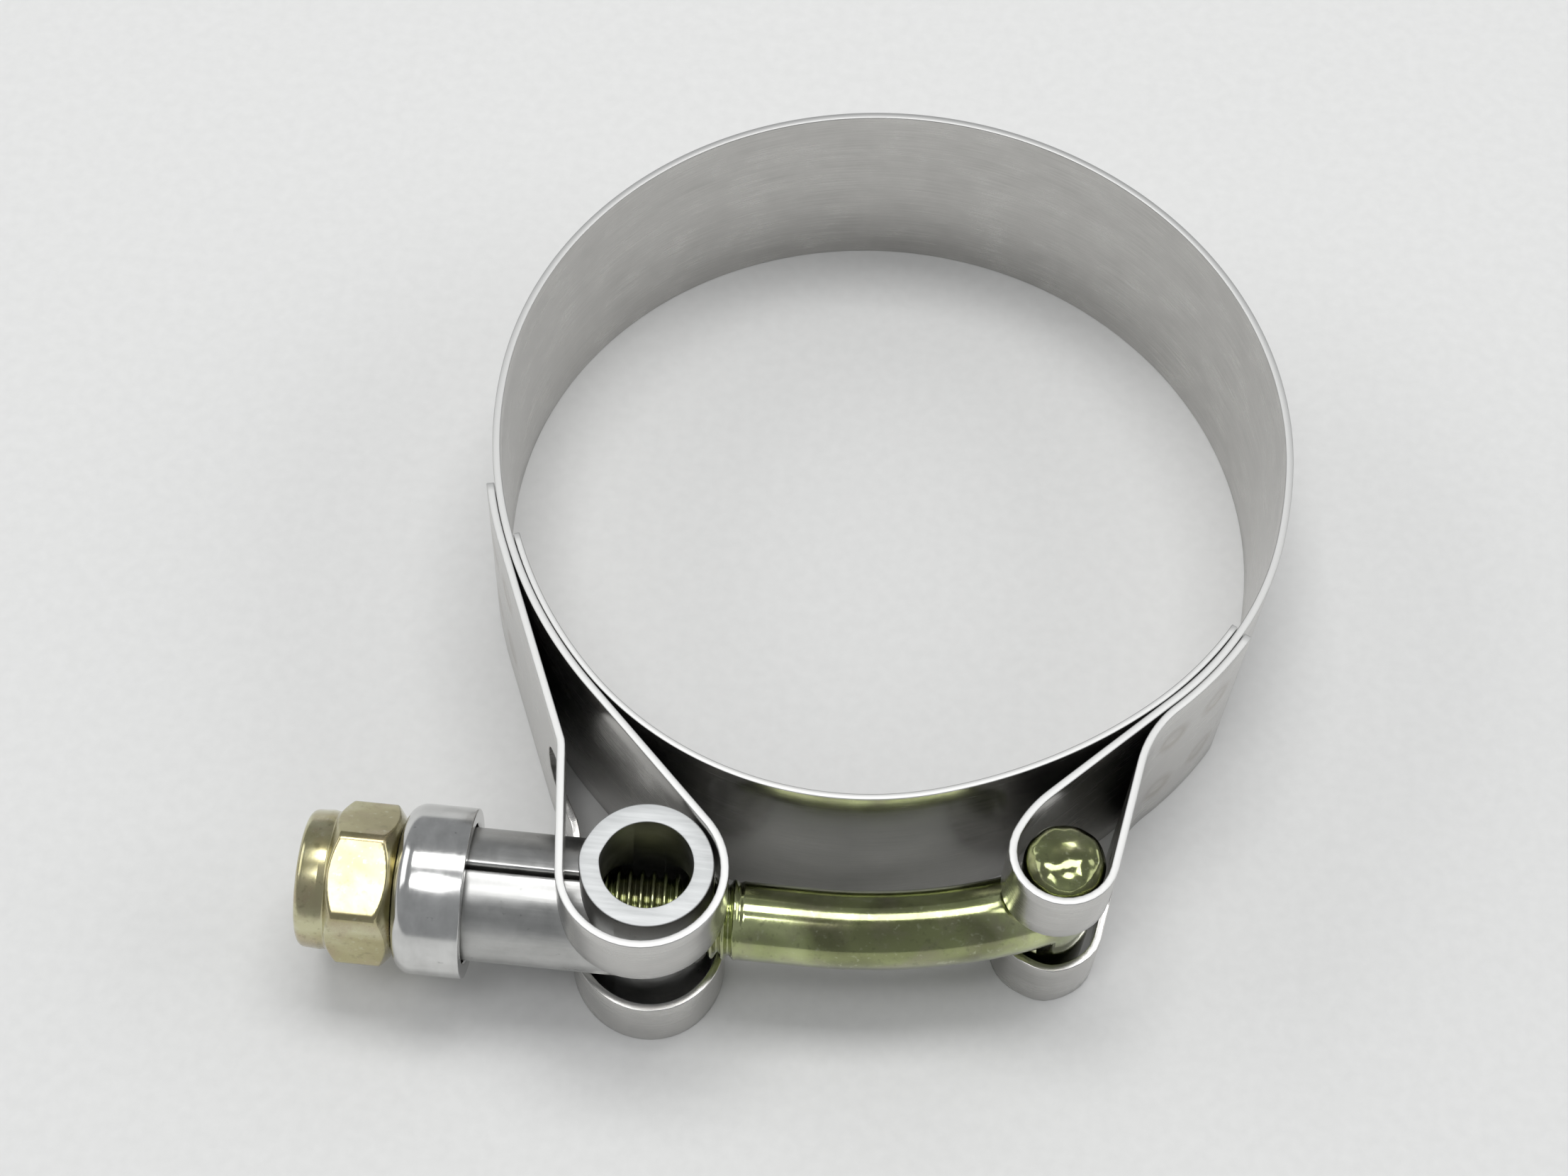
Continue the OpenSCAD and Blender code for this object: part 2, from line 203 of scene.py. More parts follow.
class Route:
    """A flat route of straights and arcs that can be read at any length along it."""

    def __init__(self):
        self.pieces = []
        self.length = 0.0

    def add(self, x, y, heading, size, turn):
        """size is a length where turn is 0, else a radius; returns the far end."""
        run = size if turn == 0 else size * math.radians(abs(turn))
        self.pieces.append((self.length, run, x, y, heading, size, turn))
        self.length += run
        return self.at(self.length)

    def start_of(self, index):
        """Length at which a piece of the route begins."""
        return self.pieces[index][0]

    def at(self, s):
        """Place and heading at a length along the route."""
        s = min(max(s, 0.0), self.length)
        for start, run, x, y, heading, size, turn in reversed(self.pieces):
            if s >= start - TINY:
                break
        d = min(s - start, run)
        h = math.radians(heading)
        if turn == 0:
            return x + d * math.cos(h), y + d * math.sin(h), heading
        side = 1 if turn > 0 else -1
        cx, cy = x - side * size * math.sin(h), y + side * size * math.cos(h)
        a = side * d / size
        return (cx + side * size * math.sin(h + a), cy - side * size * math.cos(h + a),
                heading + math.degrees(a))


def chain(x, y, heading, path):
    """A route from a place and a heading along a table of bends."""
    route = Route()
    for size, turn in path:
        x, y, heading = route.add(x, y, heading, size, turn)
    return route


def on_circle(radius, angle):
    """Place on a circle round the hose's axis."""
    return radius * math.cos(math.radians(angle)), radius * math.sin(math.radians(angle))


left_angle, right_angle = 90 + LEFT_RING, 90 - RIGHT_RING
left = chain(*on_circle(RING_R, left_angle), left_angle + 90, LEFT_PATH)
right = chain(*on_circle(RING_R, right_angle), right_angle - 90, RIGHT_PATH)
liner_route = chain(*on_circle(LINER_R, LINER_START), LINER_START - 90, LINER_PATH)
ring_end = left.length + RING_R * math.radians(LEFT_RING + RIGHT_RING)
band_length = ring_end + right.length
left_loop = left.length - left.start_of(LEFT_LOOP_BEND)
left_leg = left.length - left.start_of(LEFT_LEG_BEND)
right_loop = ring_end + right.start_of(RIGHT_LOOP_BEND)
right_leg = ring_end + right.start_of(RIGHT_LEG_BEND)


def band_at(s):
    """Place and heading on the band, from the trunnion tail's end to the head tail's end."""
    if s < left.length:
        x, y, heading = left.at(left.length - s)
        return x, y, heading + 180
    if s <= ring_end:
        angle = left_angle - math.degrees((s - left.length) / RING_R)
        return *on_circle(RING_R, angle), angle - 90
    return right.at(s - ring_end)


# Slots in the band's loops

THREAD_SLOT, SLEEVE_SLOT, SHANK_SLOT = 7.05, 10.9, 7.05
LEFT_SLOT_START, LEFT_SLOT_LEG, RIGHT_SLOT_LEG = 1.2, 9.0, 2.5


def slot_span(first, last, height):
    """First and last length of a slot on the band, from its round ends' middles, and half its height."""
    return min(first, last) - height / 2, max(first, last) + height / 2, height / 2


slots = [
    slot_span(left_loop, left_leg - LEFT_SLOT_START, THREAD_SLOT),
    slot_span(left_leg - LEFT_SLOT_START, left_leg - LEFT_SLOT_LEG, SLEEVE_SLOT),
    slot_span(right_loop, right_leg + RIGHT_SLOT_LEG, SHANK_SLOT),
]


def oblong(s, a, b, half):
    """Half the height of one slot with round ends at a length on the band; 0 outside it."""
    d = min(s - a, b - s)
    if d <= 0:
        return 0.0
    return half if d >= half else math.sqrt(half * half - (half - d) ** 2)


# Spot welds in the tails

WELD_EDGE, WELD_R, WELD_DEPTH = 5.2, 1.5, 0.08
WELD_STEP, WELD_STEPS = 0.3, 5
WELD_SKIN = BAND_T / 4
LEFT_WELDS, RIGHT_WELDS = (3.2, 7.6), (3.4, 8.6)
weld_lengths = LEFT_WELDS + tuple(band_length - d for d in RIGHT_WELDS)
welds = [(s, z) for s in weld_lengths for z in (WELD_EDGE, WIDTH - WELD_EDGE)]


def near_welds(places):
    """Closely set lengths round each given length, fine enough for a weld's dimple."""
    return {s + k * WELD_STEP for s in places for k in range(-WELD_STEPS, WELD_STEPS + 1)}


def press_welds(obj):
    """Presses a shallow round dimple into the tails' outer faces at each spot weld."""
    for s, z in welds:
        x, y, heading = band_at(s)
        out = Vector((math.sin(math.radians(heading)), -math.cos(math.radians(heading)), 0.0))
        if out.dot((x, y, 0.0)) < 0:
            out.negate()
        middle = Vector((x, y, z)) + out * BAND_T / 2
        for v in obj.data.vertices:
            d = v.co / MM - middle
            rise = d.dot(out)
            r = (d - out * rise).length / WELD_R
            if r < 1 and abs(rise) < WELD_SKIN:
                v.co -= out * WELD_DEPTH * (1 - r * r) ** 2 * MM


# Uneven bends of the loops: depth, and the lengths from the outer leg where it comes and goes
LEFT_IN = (0.9, (-14, -2), (8, 15))
RIGHT_IN = (0.4, (-14, -11), (-7, -4))
RIGHT_OUT = (-0.42, (-4, 0), (3, 8))
SETTLED_Z, UNSETTLED_Z = 6.0, 12.5


def swell(place, depth, rise, fall):
    """A smooth swelling along the strip."""
    return depth * ease(*rise, place) * (1 - ease(*fall, place))


def settle(s, z):
    """How far the loops' lower halves stand inside (+) or outside (-) the band's path."""
    on_left, on_right = left_leg - s, s - right_leg
    depth = swell(on_left, *LEFT_IN) + swell(on_right, *RIGHT_IN) + swell(on_right, *RIGHT_OUT)
    return (1 - ease(SETTLED_Z, UNSETTLED_Z, z)) * depth


# Strips

ROW_STEP, HEIGHT_STEP = 0.75, 2.4
SLOT_END_ROWS, CLOSEST_ROWS = 14, 0.06
BAND_EDGE, LINER_EDGE = 0.085, 0.07
EDGE_SEGMENTS, EDGE_ANGLE, STRIP_SMOOTH = 3, 60, 40
UV_UNIT = 100


def stations(length, breaks, step, close):
    """Lengths at which a strip gets a row: every step, closer at slots' round ends, and where given."""
    marks = set(close)
    count = math.ceil(length / step)
    marks.update(length * k / count for k in range(count + 1))
    for a, b, half in breaks:
        for k in range(SLOT_END_ROWS + 1):
            d = half * (1 - math.cos(math.pi / 2 * k / SLOT_END_ROWS))
            marks.update((a + d, b - d))
    kept = []
    fixed = {0.0, length} | {m for a, b, half in breaks for m in (a, b)}
    for m in sorted(marks):
        if kept and m - kept[-1] < CLOSEST_ROWS:
            if m in fixed and kept[-1] not in fixed:
                kept[-1] = m
            continue
        kept.append(m)
    return kept


def thicken(obj, thick, edge):
    """Gives a surface its thickness, half to each side, and softly rounds the cut edges."""
    solid = obj.modifiers.new("thick", "SOLIDIFY")
    solid.thickness = thick * MM
    solid.offset = 0
    solid.use_even_offset = True
    bevel = obj.modifiers.new("edge", "BEVEL")
    bevel.width = edge * MM
    bevel.segments = EDGE_SEGMENTS
    bevel.limit_method = "ANGLE"
    bevel.angle_limit = math.radians(EDGE_ANGLE)
    bevel.use_clamp_overlap = False
    freeze(obj)


def strip_mesh(name, at, length, thick, edge, breaks=(), lift=None, close=()):
    """A bent strip with slots; lift moves it off its path, close gives lengths that need fine rows."""
    verts, uvs, columns, faces = [], [], [], []

    def point(s, z):
        x, y, heading = at(s)
        h = math.radians(heading)
        d = lift(s, z) if lift else 0.0
        verts.append((x - d * math.sin(h), y + d * math.cos(h), z))
        uvs.append((s / UV_UNIT, z / UV_UNIT))
        return len(verts) - 1

    heights = stations(MID_Z, (), HEIGHT_STEP, near_welds([WELD_EDGE] if close else []))
    for s in stations(length, breaks, ROW_STEP, near_welds(close)):
        half = max((oblong(s, *slot) for slot in breaks), default=0.0)
        share = (MID_Z - half) / MID_Z
        low = [point(s, share * height) for height in heights]
        high = [point(s, WIDTH - share * height) for height in heights[:-1]]
        high.append(low[-1] if half < TINY else point(s, WIDTH - share * heights[-1]))
        columns.append((low, high))
    for (low_a, high_a), (low_b, high_b) in zip(columns, columns[1:]):
        for j in range(len(heights) - 1):
            faces.append((low_a[j], low_b[j], low_b[j + 1], low_a[j + 1]))
            faces.append((high_a[j + 1], high_b[j + 1], high_b[j], high_a[j]))
    obj = new_object(name, verts, faces, uvs)
    thicken(obj, thick, edge)
    shade(obj, STRIP_SMOOTH)
    return obj


band = strip_mesh("band_strip", band_at, band_length, BAND_T, BAND_EDGE, slots, settle, weld_lengths)
press_welds(band)
liner = strip_mesh("liner_strip", liner_route.at, liner_route.length, LINER_T, LINER_EDGE)

# T-bolt's rod

INCH, THREADS_PER_INCH = 25.4, 28
PITCH = INCH / THREADS_PER_INCH
MAJOR, MINOR, SHANK = 3.15, 2.64, 3.06
ROD_START, THREAD_STOP, BEND_START = -42.0, -8.0, -3.0
ROOT_SHARE, FLANK_SHARE, FLANK_CURVE = 0.12, 0.7, 0.35
RUN_OUT = 1.6
NOSE_R, NOSE_BULGE = 2.35, 0.05
ROD_TURNS, PITCH_ROWS, PLAIN_ROWS, BEND_ROWS = 64, 16, 8, 34
bend_run, bend_rise = HEAD_X - BEND_START, HEAD_Y - BOLT_Y
bend_r = (bend_run ** 2 + bend_rise ** 2) / (2 * bend_rise)
bend_angle = math.asin(bend_run / bend_r)


def thread_radius(x, a):
    """Radius of the rod at a place and angle: a right-hand thread that runs out into the shank."""
    phase = ((x - PITCH * a / (2 * math.pi)) / PITCH) % 1.0
    flank = min(1.0, max(0.0, (abs(2 * phase - 1) - ROOT_SHARE) / FLANK_SHARE))
    crest = FLANK_CURVE * ease(0, 1, flank) + (1 - FLANK_CURVE) * flank
    r = MINOR + (MAJOR - MINOR) * crest
    r += (SHANK - r) * ease(THREAD_STOP - RUN_OUT, THREAD_STOP, x)
    return min(r, NOSE_R + x - ROD_START)


def straight_ring(x):
    """A ring of points round the straight part of the rod."""
    ring = []
    for k in range(ROD_TURNS):
        a = 2 * math.pi * k / ROD_TURNS
        r = thread_radius(x, a) if x < THREAD_STOP else SHANK
        ring.append((x, BOLT_Y + r * math.cos(a), MID_Z + r * math.sin(a)))
    return ring


def bent_ring(bend):
    """A ring of points round the curved shank, at an angle of its bend."""
    ring = []
    for k in range(ROD_TURNS):
        a = 2 * math.pi * k / ROD_TURNS
        r = bend_r - SHANK * math.cos(a)
        ring.append((BEND_START + r * math.sin(bend), BOLT_Y + bend_r - r * math.cos(bend),
                     MID_Z + SHANK * math.sin(a)))
    return ring


def make_rod():
    """The threaded rod with its curved shank, closed at both ends."""
    step = PITCH / PITCH_ROWS
    plain = (BEND_START - THREAD_STOP) / PLAIN_ROWS
    rings = [straight_ring(ROD_START + step * k) for k in range(math.ceil((THREAD_STOP - ROD_START) / step))]
    rings += [straight_ring(THREAD_STOP + plain * k) for k in range(PLAIN_ROWS + 1)]
    rings += [bent_ring(bend_angle * k / BEND_ROWS) for k in range(1, BEND_ROWS + 1)]
    verts = [point for ring in rings for point in ring]
    faces = ring_faces(len(rings), ROD_TURNS, False)
    first, last = len(verts), len(verts) + 1
    verts.append((ROD_START - NOSE_BULGE, BOLT_Y, MID_Z))
    verts.append(tuple(sum(c) / ROD_TURNS for c in zip(*rings[-1])))
    end = first - ROD_TURNS
    for k in range(ROD_TURNS):
        m = (k + 1) % ROD_TURNS
        faces.append((first, m, k))
        faces.append((last, end + k, end + m))
    return face_outward(new_object("t_bolt_rod", verts, faces))


# T-bolt's cross head

HEAD_HALF, HEAD_R = 8.8, 3.15
HEAD_SHIFT_X, HEAD_SHIFT_Y = 0.2, 0.05
DOME_RISE, DOME_ROWS = 1.5, 20
DOME_CROWN, DOME_SHOULDER = 0.9, 0.55
SIDE_STEP, SIDE_ROWS = 1.4, 3
DENT_UP = 0.4
DENTS = ((0.15, 0.75), (0.035, 1.5))
BOLT_SMOOTH = 50


def dome():
    """One end of the head: a low dome over a round shoulder, from the side to the middle."""
    out = []
    for k in range(DOME_ROWS):
        a = math.pi / 2 * k / DOME_ROWS
        along = HEAD_HALF - DOME_RISE + DOME_RISE * math.sin(a) ** DOME_CROWN
        out.append((along, HEAD_R * math.cos(a) ** DOME_SHOULDER))
    out.append((HEAD_HALF, 0.0))
    return out


def dent(obj):
    """Pushes the domed ends slightly in and out; each dent has a depth and a fineness."""
    for v in obj.data.vertices:
        p = v.co / MM
        up = abs(p.z - MID_Z) - (HEAD_HALF - DOME_RISE)
        if up > 0:
            push = sum(depth * mnoise.noise(p * fineness) for depth, fineness in DENTS)
            out = Vector((p.x - HEAD_X, p.y - HEAD_Y, (p.z - MID_Z) * DENT_UP)).normalized()
            v.co = (p + out * push * min(1, up)) * MM


def make_head():
    """The round cross head with domed ends."""
    side = [(HEAD_HALF - DOME_RISE - SIDE_STEP * k, HEAD_R) for k in range(SIDE_ROWS, 0, -1)]
    upper = side + dome()
    profile = [(-z, r) for z, r in reversed(upper)] + upper
    head = lathe("t_bolt_head", profile, (HEAD_X + HEAD_SHIFT_X, HEAD_Y + HEAD_SHIFT_Y, MID_Z), "z")
    dent(head)
    return head


bolt = join_shape(make_rod(), make_head(), "UNION")
shade(bolt, BOLT_SMOOTH)

# Trunnion

BARREL_R, BARREL_BORE, BARREL_HALF = 5.05, 3.5, 8.65
BARREL_EDGE, BARREL_FLARE, FLARE_ROWS, BARREL_TURNS = 0.13, 0.09, 6, 128
CORNER_ANGLE, CORNER_RISE, CORNER_SPREAD = 176, 0.10, 12
SLEEVE_R, SLEEVE_BORE, SLEEVE_END, SLEEVE_EDGE = 5.15, 3.455, -33.1, 0.25
EXIT_R, EXIT_START, EXIT_STOP = 3.8, 1.0, 9.0
CUT_OVER = 1
SEAM_INTO = 0.25
SEAM_SIDE = [(0.14, 2.0), (0.14, 4.72), (0.17, 4.88), (0.24, 5.02), (0.36, 5.12), (0.55, 5.2), (0.8, 6.5)]
TRUNNION_SMOOTH = 32
trunnion_middle = (TRUNNION_X, BOLT_Y, MID_Z)
sleeve_length = TRUNNION_X - SLEEVE_END


def barrel_warp(a):
    """The rolled barrel has a slight corner on the sleeve's side."""
    d = (math.degrees(a) - CORNER_ANGLE + 180) % 360 - 180
    return CORNER_RISE * math.exp(-(d / CORNER_SPREAD) ** 2)


def make_barrel():
    """The upright barrel, still without its bore."""
    profile = rounded([
        (-BARREL_HALF, 0.0, 0), (-BARREL_HALF, BARREL_R, BARREL_EDGE),
        (BARREL_HALF, BARREL_R, BARREL_EDGE), (BARREL_HALF, 0.0, 0),
    ])
    return lathe("trunnion_barrel", profile, trunnion_middle, "z", BARREL_TURNS, barrel_warp)


def make_sleeve():
    """The sleeve along the bolt, still without its bore."""
    profile = rounded([
        (-sleeve_length, 0.0, 0), (-sleeve_length, SLEEVE_R, SLEEVE_EDGE), (0.0, SLEEVE_R, 0), (0.0, 0.0, 0),
    ])
    return lathe("sleeve", profile, trunnion_middle, "x")


def barrel_bore():
    """Cutter for the barrel's bore, which flares a little at both ends."""
    lower = [(-BARREL_HALF - CUT_OVER, 0.0), (-BARREL_HALF - CUT_OVER, BARREL_BORE + BARREL_FLARE)]
    for k in range(FLARE_ROWS + 1):
        a = math.pi / 2 * k / FLARE_ROWS
        lower.append((-BARREL_HALF + BARREL_FLARE * (1 - math.cos(a)),
                      BARREL_BORE + BARREL_FLARE * (1 - math.sin(a))))
    profile = lower + [(-z, r) for z, r in reversed(lower)]
    return lathe("bore", profile, trunnion_middle, "z", BARREL_TURNS, barrel_warp)


def sleeve_bore():
    """Cutter for the sleeve's bore, bevelled at the cap's end."""
    wide = SLEEVE_BORE + SLEEVE_EDGE
    profile = [
        (-sleeve_length - CUT_OVER, 0.0), (-sleeve_length - CUT_OVER, wide), (-sleeve_length, wide),
        (-sleeve_length + SLEEVE_EDGE, SLEEVE_BORE), (0.0, SLEEVE_BORE), (0.0, 0.0),
    ]
    return lathe("sleeve_bore", profile, trunnion_middle, "x")


def bolt_exit():
    """Cutter for the hole where the bolt leaves the barrel."""
    profile = [(EXIT_START, 0.0), (EXIT_START, EXIT_R), (EXIT_STOP, EXIT_R), (EXIT_STOP, 0.0)]
    return lathe("exit", profile, trunnion_middle, "x")


def sleeve_seam():
    """Cutter for the open seam on top of the sleeve, with rolled-in edges."""
    outline = [(-y, z) for y, z in SEAM_SIDE] + [(y, z) for y, z in reversed(SEAM_SIDE)]
    ends = (SLEEVE_END - CUT_OVER, TRUNNION_X - BARREL_R + SEAM_INTO)
    n = len(outline)
    verts = [(x, BOLT_Y + y, MID_Z + z) for x in ends for y, z in outline]
    faces = [tuple(range(n)), tuple(range(2 * n - 1, n - 1, -1))]
    faces += [(k, n + k, n + (k + 1) % n, (k + 1) % n) for k in range(n)]
    return face_outward(new_object("seam", verts, faces))


trunnion = join_shape(make_barrel(), make_sleeve(), "UNION")
for make_cutter in (barrel_bore, sleeve_bore, bolt_exit, sleeve_seam):
    join_shape(trunnion, make_cutter(), "DIFFERENCE")
shade(trunnion, TRUNNION_SMOOTH)

# Cap

CAP_X, CAP_R, CAP_LENGTH, CAP_FLOOR = -34.7, 6.6, 5.4, 1.5
CAP_BORE, CAP_HOLE = 5.42, 3.55
CAP_ROUND, CAP_FILLET, HOLE_EDGE = 1.9, 0.3, 0.15
LIP_OUTSIDE, LIP_INSIDE = 0.12, 0.25
CAP_STEPS, CAP_TURNS, CAP_SMOOTH = 7, 112, 40
cap_profile = rounded([
    (0.0, CAP_HOLE, HOLE_EDGE), (0.0, CAP_R, CAP_ROUND),
    (CAP_LENGTH, CAP_R, LIP_OUTSIDE), (CAP_LENGTH, CAP_BORE, LIP_INSIDE),
    (CAP_FLOOR, CAP_BORE, CAP_FILLET), (CAP_FLOOR, CAP_HOLE, HOLE_EDGE),
], CAP_STEPS)
cap = lathe("cap_cup", cap_profile, (CAP_X, BOLT_Y, MID_Z), "x", CAP_TURNS)
shade(cap, CAP_SMOOTH)

# Nut; depths are from its face at the cap

NUT_X, NUT_FLAT, NUT_TURN, NUT_TURNS = -34.8, 11.11 / 2, 50.0, 240
HEX_H, COLLAR_H, COLLAR_R = 5.1, 2.3, 5.45
NUT_END = HEX_H + COLLAR_H
CORNER_CUT, CORNER_SHARPNESS = 0.15315353, 60.0
FACE_BEVEL, FACE_BEVEL_ANGLE = 0.45, 38
COLLAR_BEVEL, COLLAR_BEVEL_ANGLE = 0.22, 40
BEVEL_SHARPNESS = 34.0
FINE_STEP, FINE_ROWS, FAR_FINE_START, LAST_ROW = 0.1, 9, 4.2, 5.08
MIDDLE_ROWS = [0.95, 1.15, 1.5, 2.0, 2.6, 3.2, 3.7, 3.95, 4.1]
FACE_RADII = (3.5, 3.9, 4.9)
LIP_DEPTH, LIP_R = 0.3, 4.15
POCKET_R, POCKET_FLOOR = 4.42, 5.28
BORE_FAR_R, BORE_NEAR_R, BORE_BEVEL = 3.3, 3.22, 0.5
COLLAR_OUTLINE = [
    (HEX_H - 0.3, COLLAR_R - 0.2, 0), (HEX_H + 0.12, COLLAR_R - 0.14, 0.2),
    (HEX_H + 0.6, COLLAR_R - 0.05, 0.3), (NUT_END, COLLAR_R - 0.16, 1.0),
    (NUT_END, LIP_R, 0.12), (NUT_END - LIP_DEPTH, LIP_R, 0),
]
COLLAR_STEPS, NUT_SMOOTH = 6, 38


def soft_min(values, sharpness):
    """The smallest of some values, with a smooth passage from one to the next."""
    return -math.log(sum(math.exp(-sharpness * value) for value in values)) / sharpness


def hex_radius(a):
    """Radius of the hexagon outline with softened corners, at an angle."""
    d = (math.degrees(a) - NUT_TURN + 30) % 60 - 30
    flat = NUT_FLAT / math.cos(math.radians(d))
    corner = NUT_FLAT / math.cos(math.radians(30))
    return soft_min((flat, corner - CORNER_CUT), CORNER_SHARPNESS)


def nut_radius(depth, a):
    """Outer radius of the hexagon at a depth, with its corners turned off at both faces."""
    near = NUT_FLAT - FACE_BEVEL + depth / math.tan(math.radians(FACE_BEVEL_ANGLE))
    far = NUT_FLAT - COLLAR_BEVEL + (HEX_H - depth) / math.tan(math.radians(COLLAR_BEVEL_ANGLE))
    return soft_min((hex_radius(a), near, far), BEVEL_SHARPNESS)


def make_nut():
    """The nut as one closed run of rings: face, hexagon, collar, insert pocket and bore."""
    angles = [2 * math.pi * k / NUT_TURNS for k in range(NUT_TURNS)]
    depths = [FINE_STEP * k for k in range(FINE_ROWS)] + MIDDLE_ROWS
    depths += [FAR_FINE_START + FINE_STEP * k for k in range(FINE_ROWS)] + [LAST_ROW]
    inside = [
        (NUT_END - LIP_DEPTH, POCKET_R), (POCKET_FLOOR, POCKET_R),
        (POCKET_FLOOR, BORE_FAR_R), (BORE_BEVEL, BORE_NEAR_R),
    ]
    rings = [[(0.0, r)] * NUT_TURNS for r in FACE_RADII]
    rings += [[(d, nut_radius(d, a)) for a in angles] for d in depths]
    rings += [[place] * NUT_TURNS for place in rounded(COLLAR_OUTLINE, COLLAR_STEPS)[1:] + inside]
    verts = []
    for ring in rings:
        for a, (d, r) in zip(angles, ring):
            verts.append((NUT_X - d, BOLT_Y + r * math.cos(a), MID_Z + r * math.sin(a)))
    return face_outward(new_object("nut_hex", verts, ring_faces(len(rings), NUT_TURNS, True)))


nut = make_nut()
shade(nut, NUT_SMOOTH)

# Nylon insert

INSERT_R, INSERT_BORE, INSERT_START, INSERT_SMOOTH = 4.38, 3.225, 5.3, 40
insert_profile = rounded([
    (LIP_DEPTH - NUT_END, INSERT_BORE, 0.25), (LIP_DEPTH - NUT_END, INSERT_R, 0.15),
    (-INSERT_START, INSERT_R, 0.1), (-INSERT_START, INSERT_BORE, 0.2),
])
insert = lathe("insert_ring", insert_profile, (NUT_X, BOLT_Y, MID_Z), "x")
shade(insert, INSERT_SMOOTH)

# Materials

CUT_DEPTH = 0.04
STRIP_CUT_COLOR, STRIP_CUT_ROUGH = (0.56, 0.56, 0.55), (0.48, 0.48, 0.48)
WELD_TINT, WELD_TINT_SHARE, WELD_REACH = (0.27, 0.22, 0.17), 0.42, 30.0
WELD_RING = [(0.20, 0.35), (0.36, 1.0), (0.44, 0.6), (0.62, 0.0)]
SAW_DARK, SAW_LIGHT, SAW_ROUGH = (0.47, 0.48, 0.48), (0.58, 0.59, 0.59), (0.56, 0.56, 0.56)
COAT_ROUGH = 0.08


def darker(color, share):
    """A colour at a share of its brightness."""
    return tuple(c * share for c in color)


class Shader:
    """A node material built step by step."""

    def __init__(self, name):
        self.mat = bpy.data.materials.new(name)
        self.mat.use_nodes = True
        self.tree = self.mat.node_tree
        self.bsdf = self.tree.nodes["Principled BSDF"]

    def add(self, kind, **values):
        """A new node with some of its settings."""
        node = self.tree.nodes.new(kind)
        for key, value in values.items():
            setattr(node, key, value)
        return node

    def feed(self, socket, value):
        """Links a socket to another one, or sets its value; a plain colour is made opaque."""
        if isinstance(value, bpy.types.NodeSocket):
            self.tree.links.new(value, socket)
        elif socket.type == "RGBA":
            socket.default_value = (*value, 1)
        else:
            socket.default_value = value

    def put(self, node, name, value):
        """Feeds a node's socket by its name."""
        self.feed(node.inputs[name], value)

    def coords(self, space, stretch):
        """Stretched texture coordinates; space is 'Object' or 'UV'."""
        mapping = self.add("ShaderNodeMapping")
        self.put(mapping, "Vector", self.add("ShaderNodeTexCoord").outputs[space])
        self.put(mapping, "Scale", stretch)
        return mapping.outputs["Vector"]

    def noise(self, space, stretch, detail, rough, distortion=0.0):
        """Cloudy noise from 0 to 1 over stretched coordinates."""
        node = self.add("ShaderNodeTexNoise")
        self.put(node, "Vector", self.coords(space, stretch))
        self.put(node, "Scale", 1.0)
        self.put(node, "Detail", detail)
        self.put(node, "Roughness", rough)
        self.put(node, "Distortion", distortion)
        return node.outputs["Fac"]

    def ramp(self, value, stops):
        """A value turned into a colour, or a grey, by stops of place and colour."""
        node = self.add("ShaderNodeValToRGB")
        self.put(node, "Fac", value)
        bar = node.color_ramp
        while len(bar.elements) < len(stops):
            bar.elements.new(0.5)
        for element, (place, color) in zip(bar.elements, stops):
            element.position = place
            if not isinstance(color, tuple):
                color = (color, color, color)
            element.color = (*color, 1)
        return node.outputs["Color"]

    def math(self, kind, a, b):
        """A sum, product or other result of two values."""
        node = self.add("ShaderNodeMath", operation=kind)
        self.feed(node.inputs[0], a)
        self.feed(node.inputs[1], b)
        return node.outputs[0]

    def weigh(self, a, share_a, b, share_b):
        """The sum of two values, each times its share."""
        return self.math("ADD", self.math("MULTIPLY", a, share_a), self.math("MULTIPLY", b, share_b))

    def mix(self, share, a, b):
        """Colour a with a share of colour b over it."""
        node = self.add("ShaderNodeMix", data_type="RGBA")
        self.feed(node.inputs[0], share)
        self.feed(node.inputs[6], a)
        self.feed(node.inputs[7], b)
        return node.outputs[2]

    def bump(self, height, strength, distance):
        """Fine relief from a height value."""
        node = self.add("ShaderNodeBump")
        self.put(node, "Height", height)
        self.put(node, "Strength", strength)
        self.put(node, "Distance", distance)
        self.put(self.bsdf, "Normal", node.outputs["Normal"])

    def surface(self, color, rough, metallic):
        """Colour, roughness and metal share of the finished surface."""
        self.put(self.bsdf, "Base Color", color)
        self.put(self.bsdf, "Roughness", rough)
        self.put(self.bsdf, "Metallic", metallic)

    def cut_faces(self, half):
        """1 on the cut faces at the top and bottom of a piece of this half height, else 0."""
        split = self.add("ShaderNodeSeparateXYZ")
        self.put(split, "Vector", self.coords("Object", (1.0, 1.0, 1.0)))
        off = self.math("SUBTRACT", split.outputs["Z"], MID_Z * MM)
        return self.math("GREATER_THAN", self.math("ABSOLUTE", off, 0.0), (half - CUT_DEPTH) * MM)

    def weld_rings(self, spots):
        """The heat tint round spots at a length and a height on a strip, from 0 to 1."""
        uv = self.add("ShaderNodeUVMap", uv_map="strip").outputs["UV"]
        near = None
        for s, z in spots:
            gap = self.add("ShaderNodeVectorMath", operation="DISTANCE")
            self.feed(gap.inputs[0], uv)
            self.feed(gap.inputs[1], (s / UV_UNIT, z / UV_UNIT, 0))
            value = gap.outputs["Value"]
            near = value if near is None else self.math("MINIMUM", near, value)
        return self.ramp(self.math("MULTIPLY", near, WELD_REACH), WELD_RING)


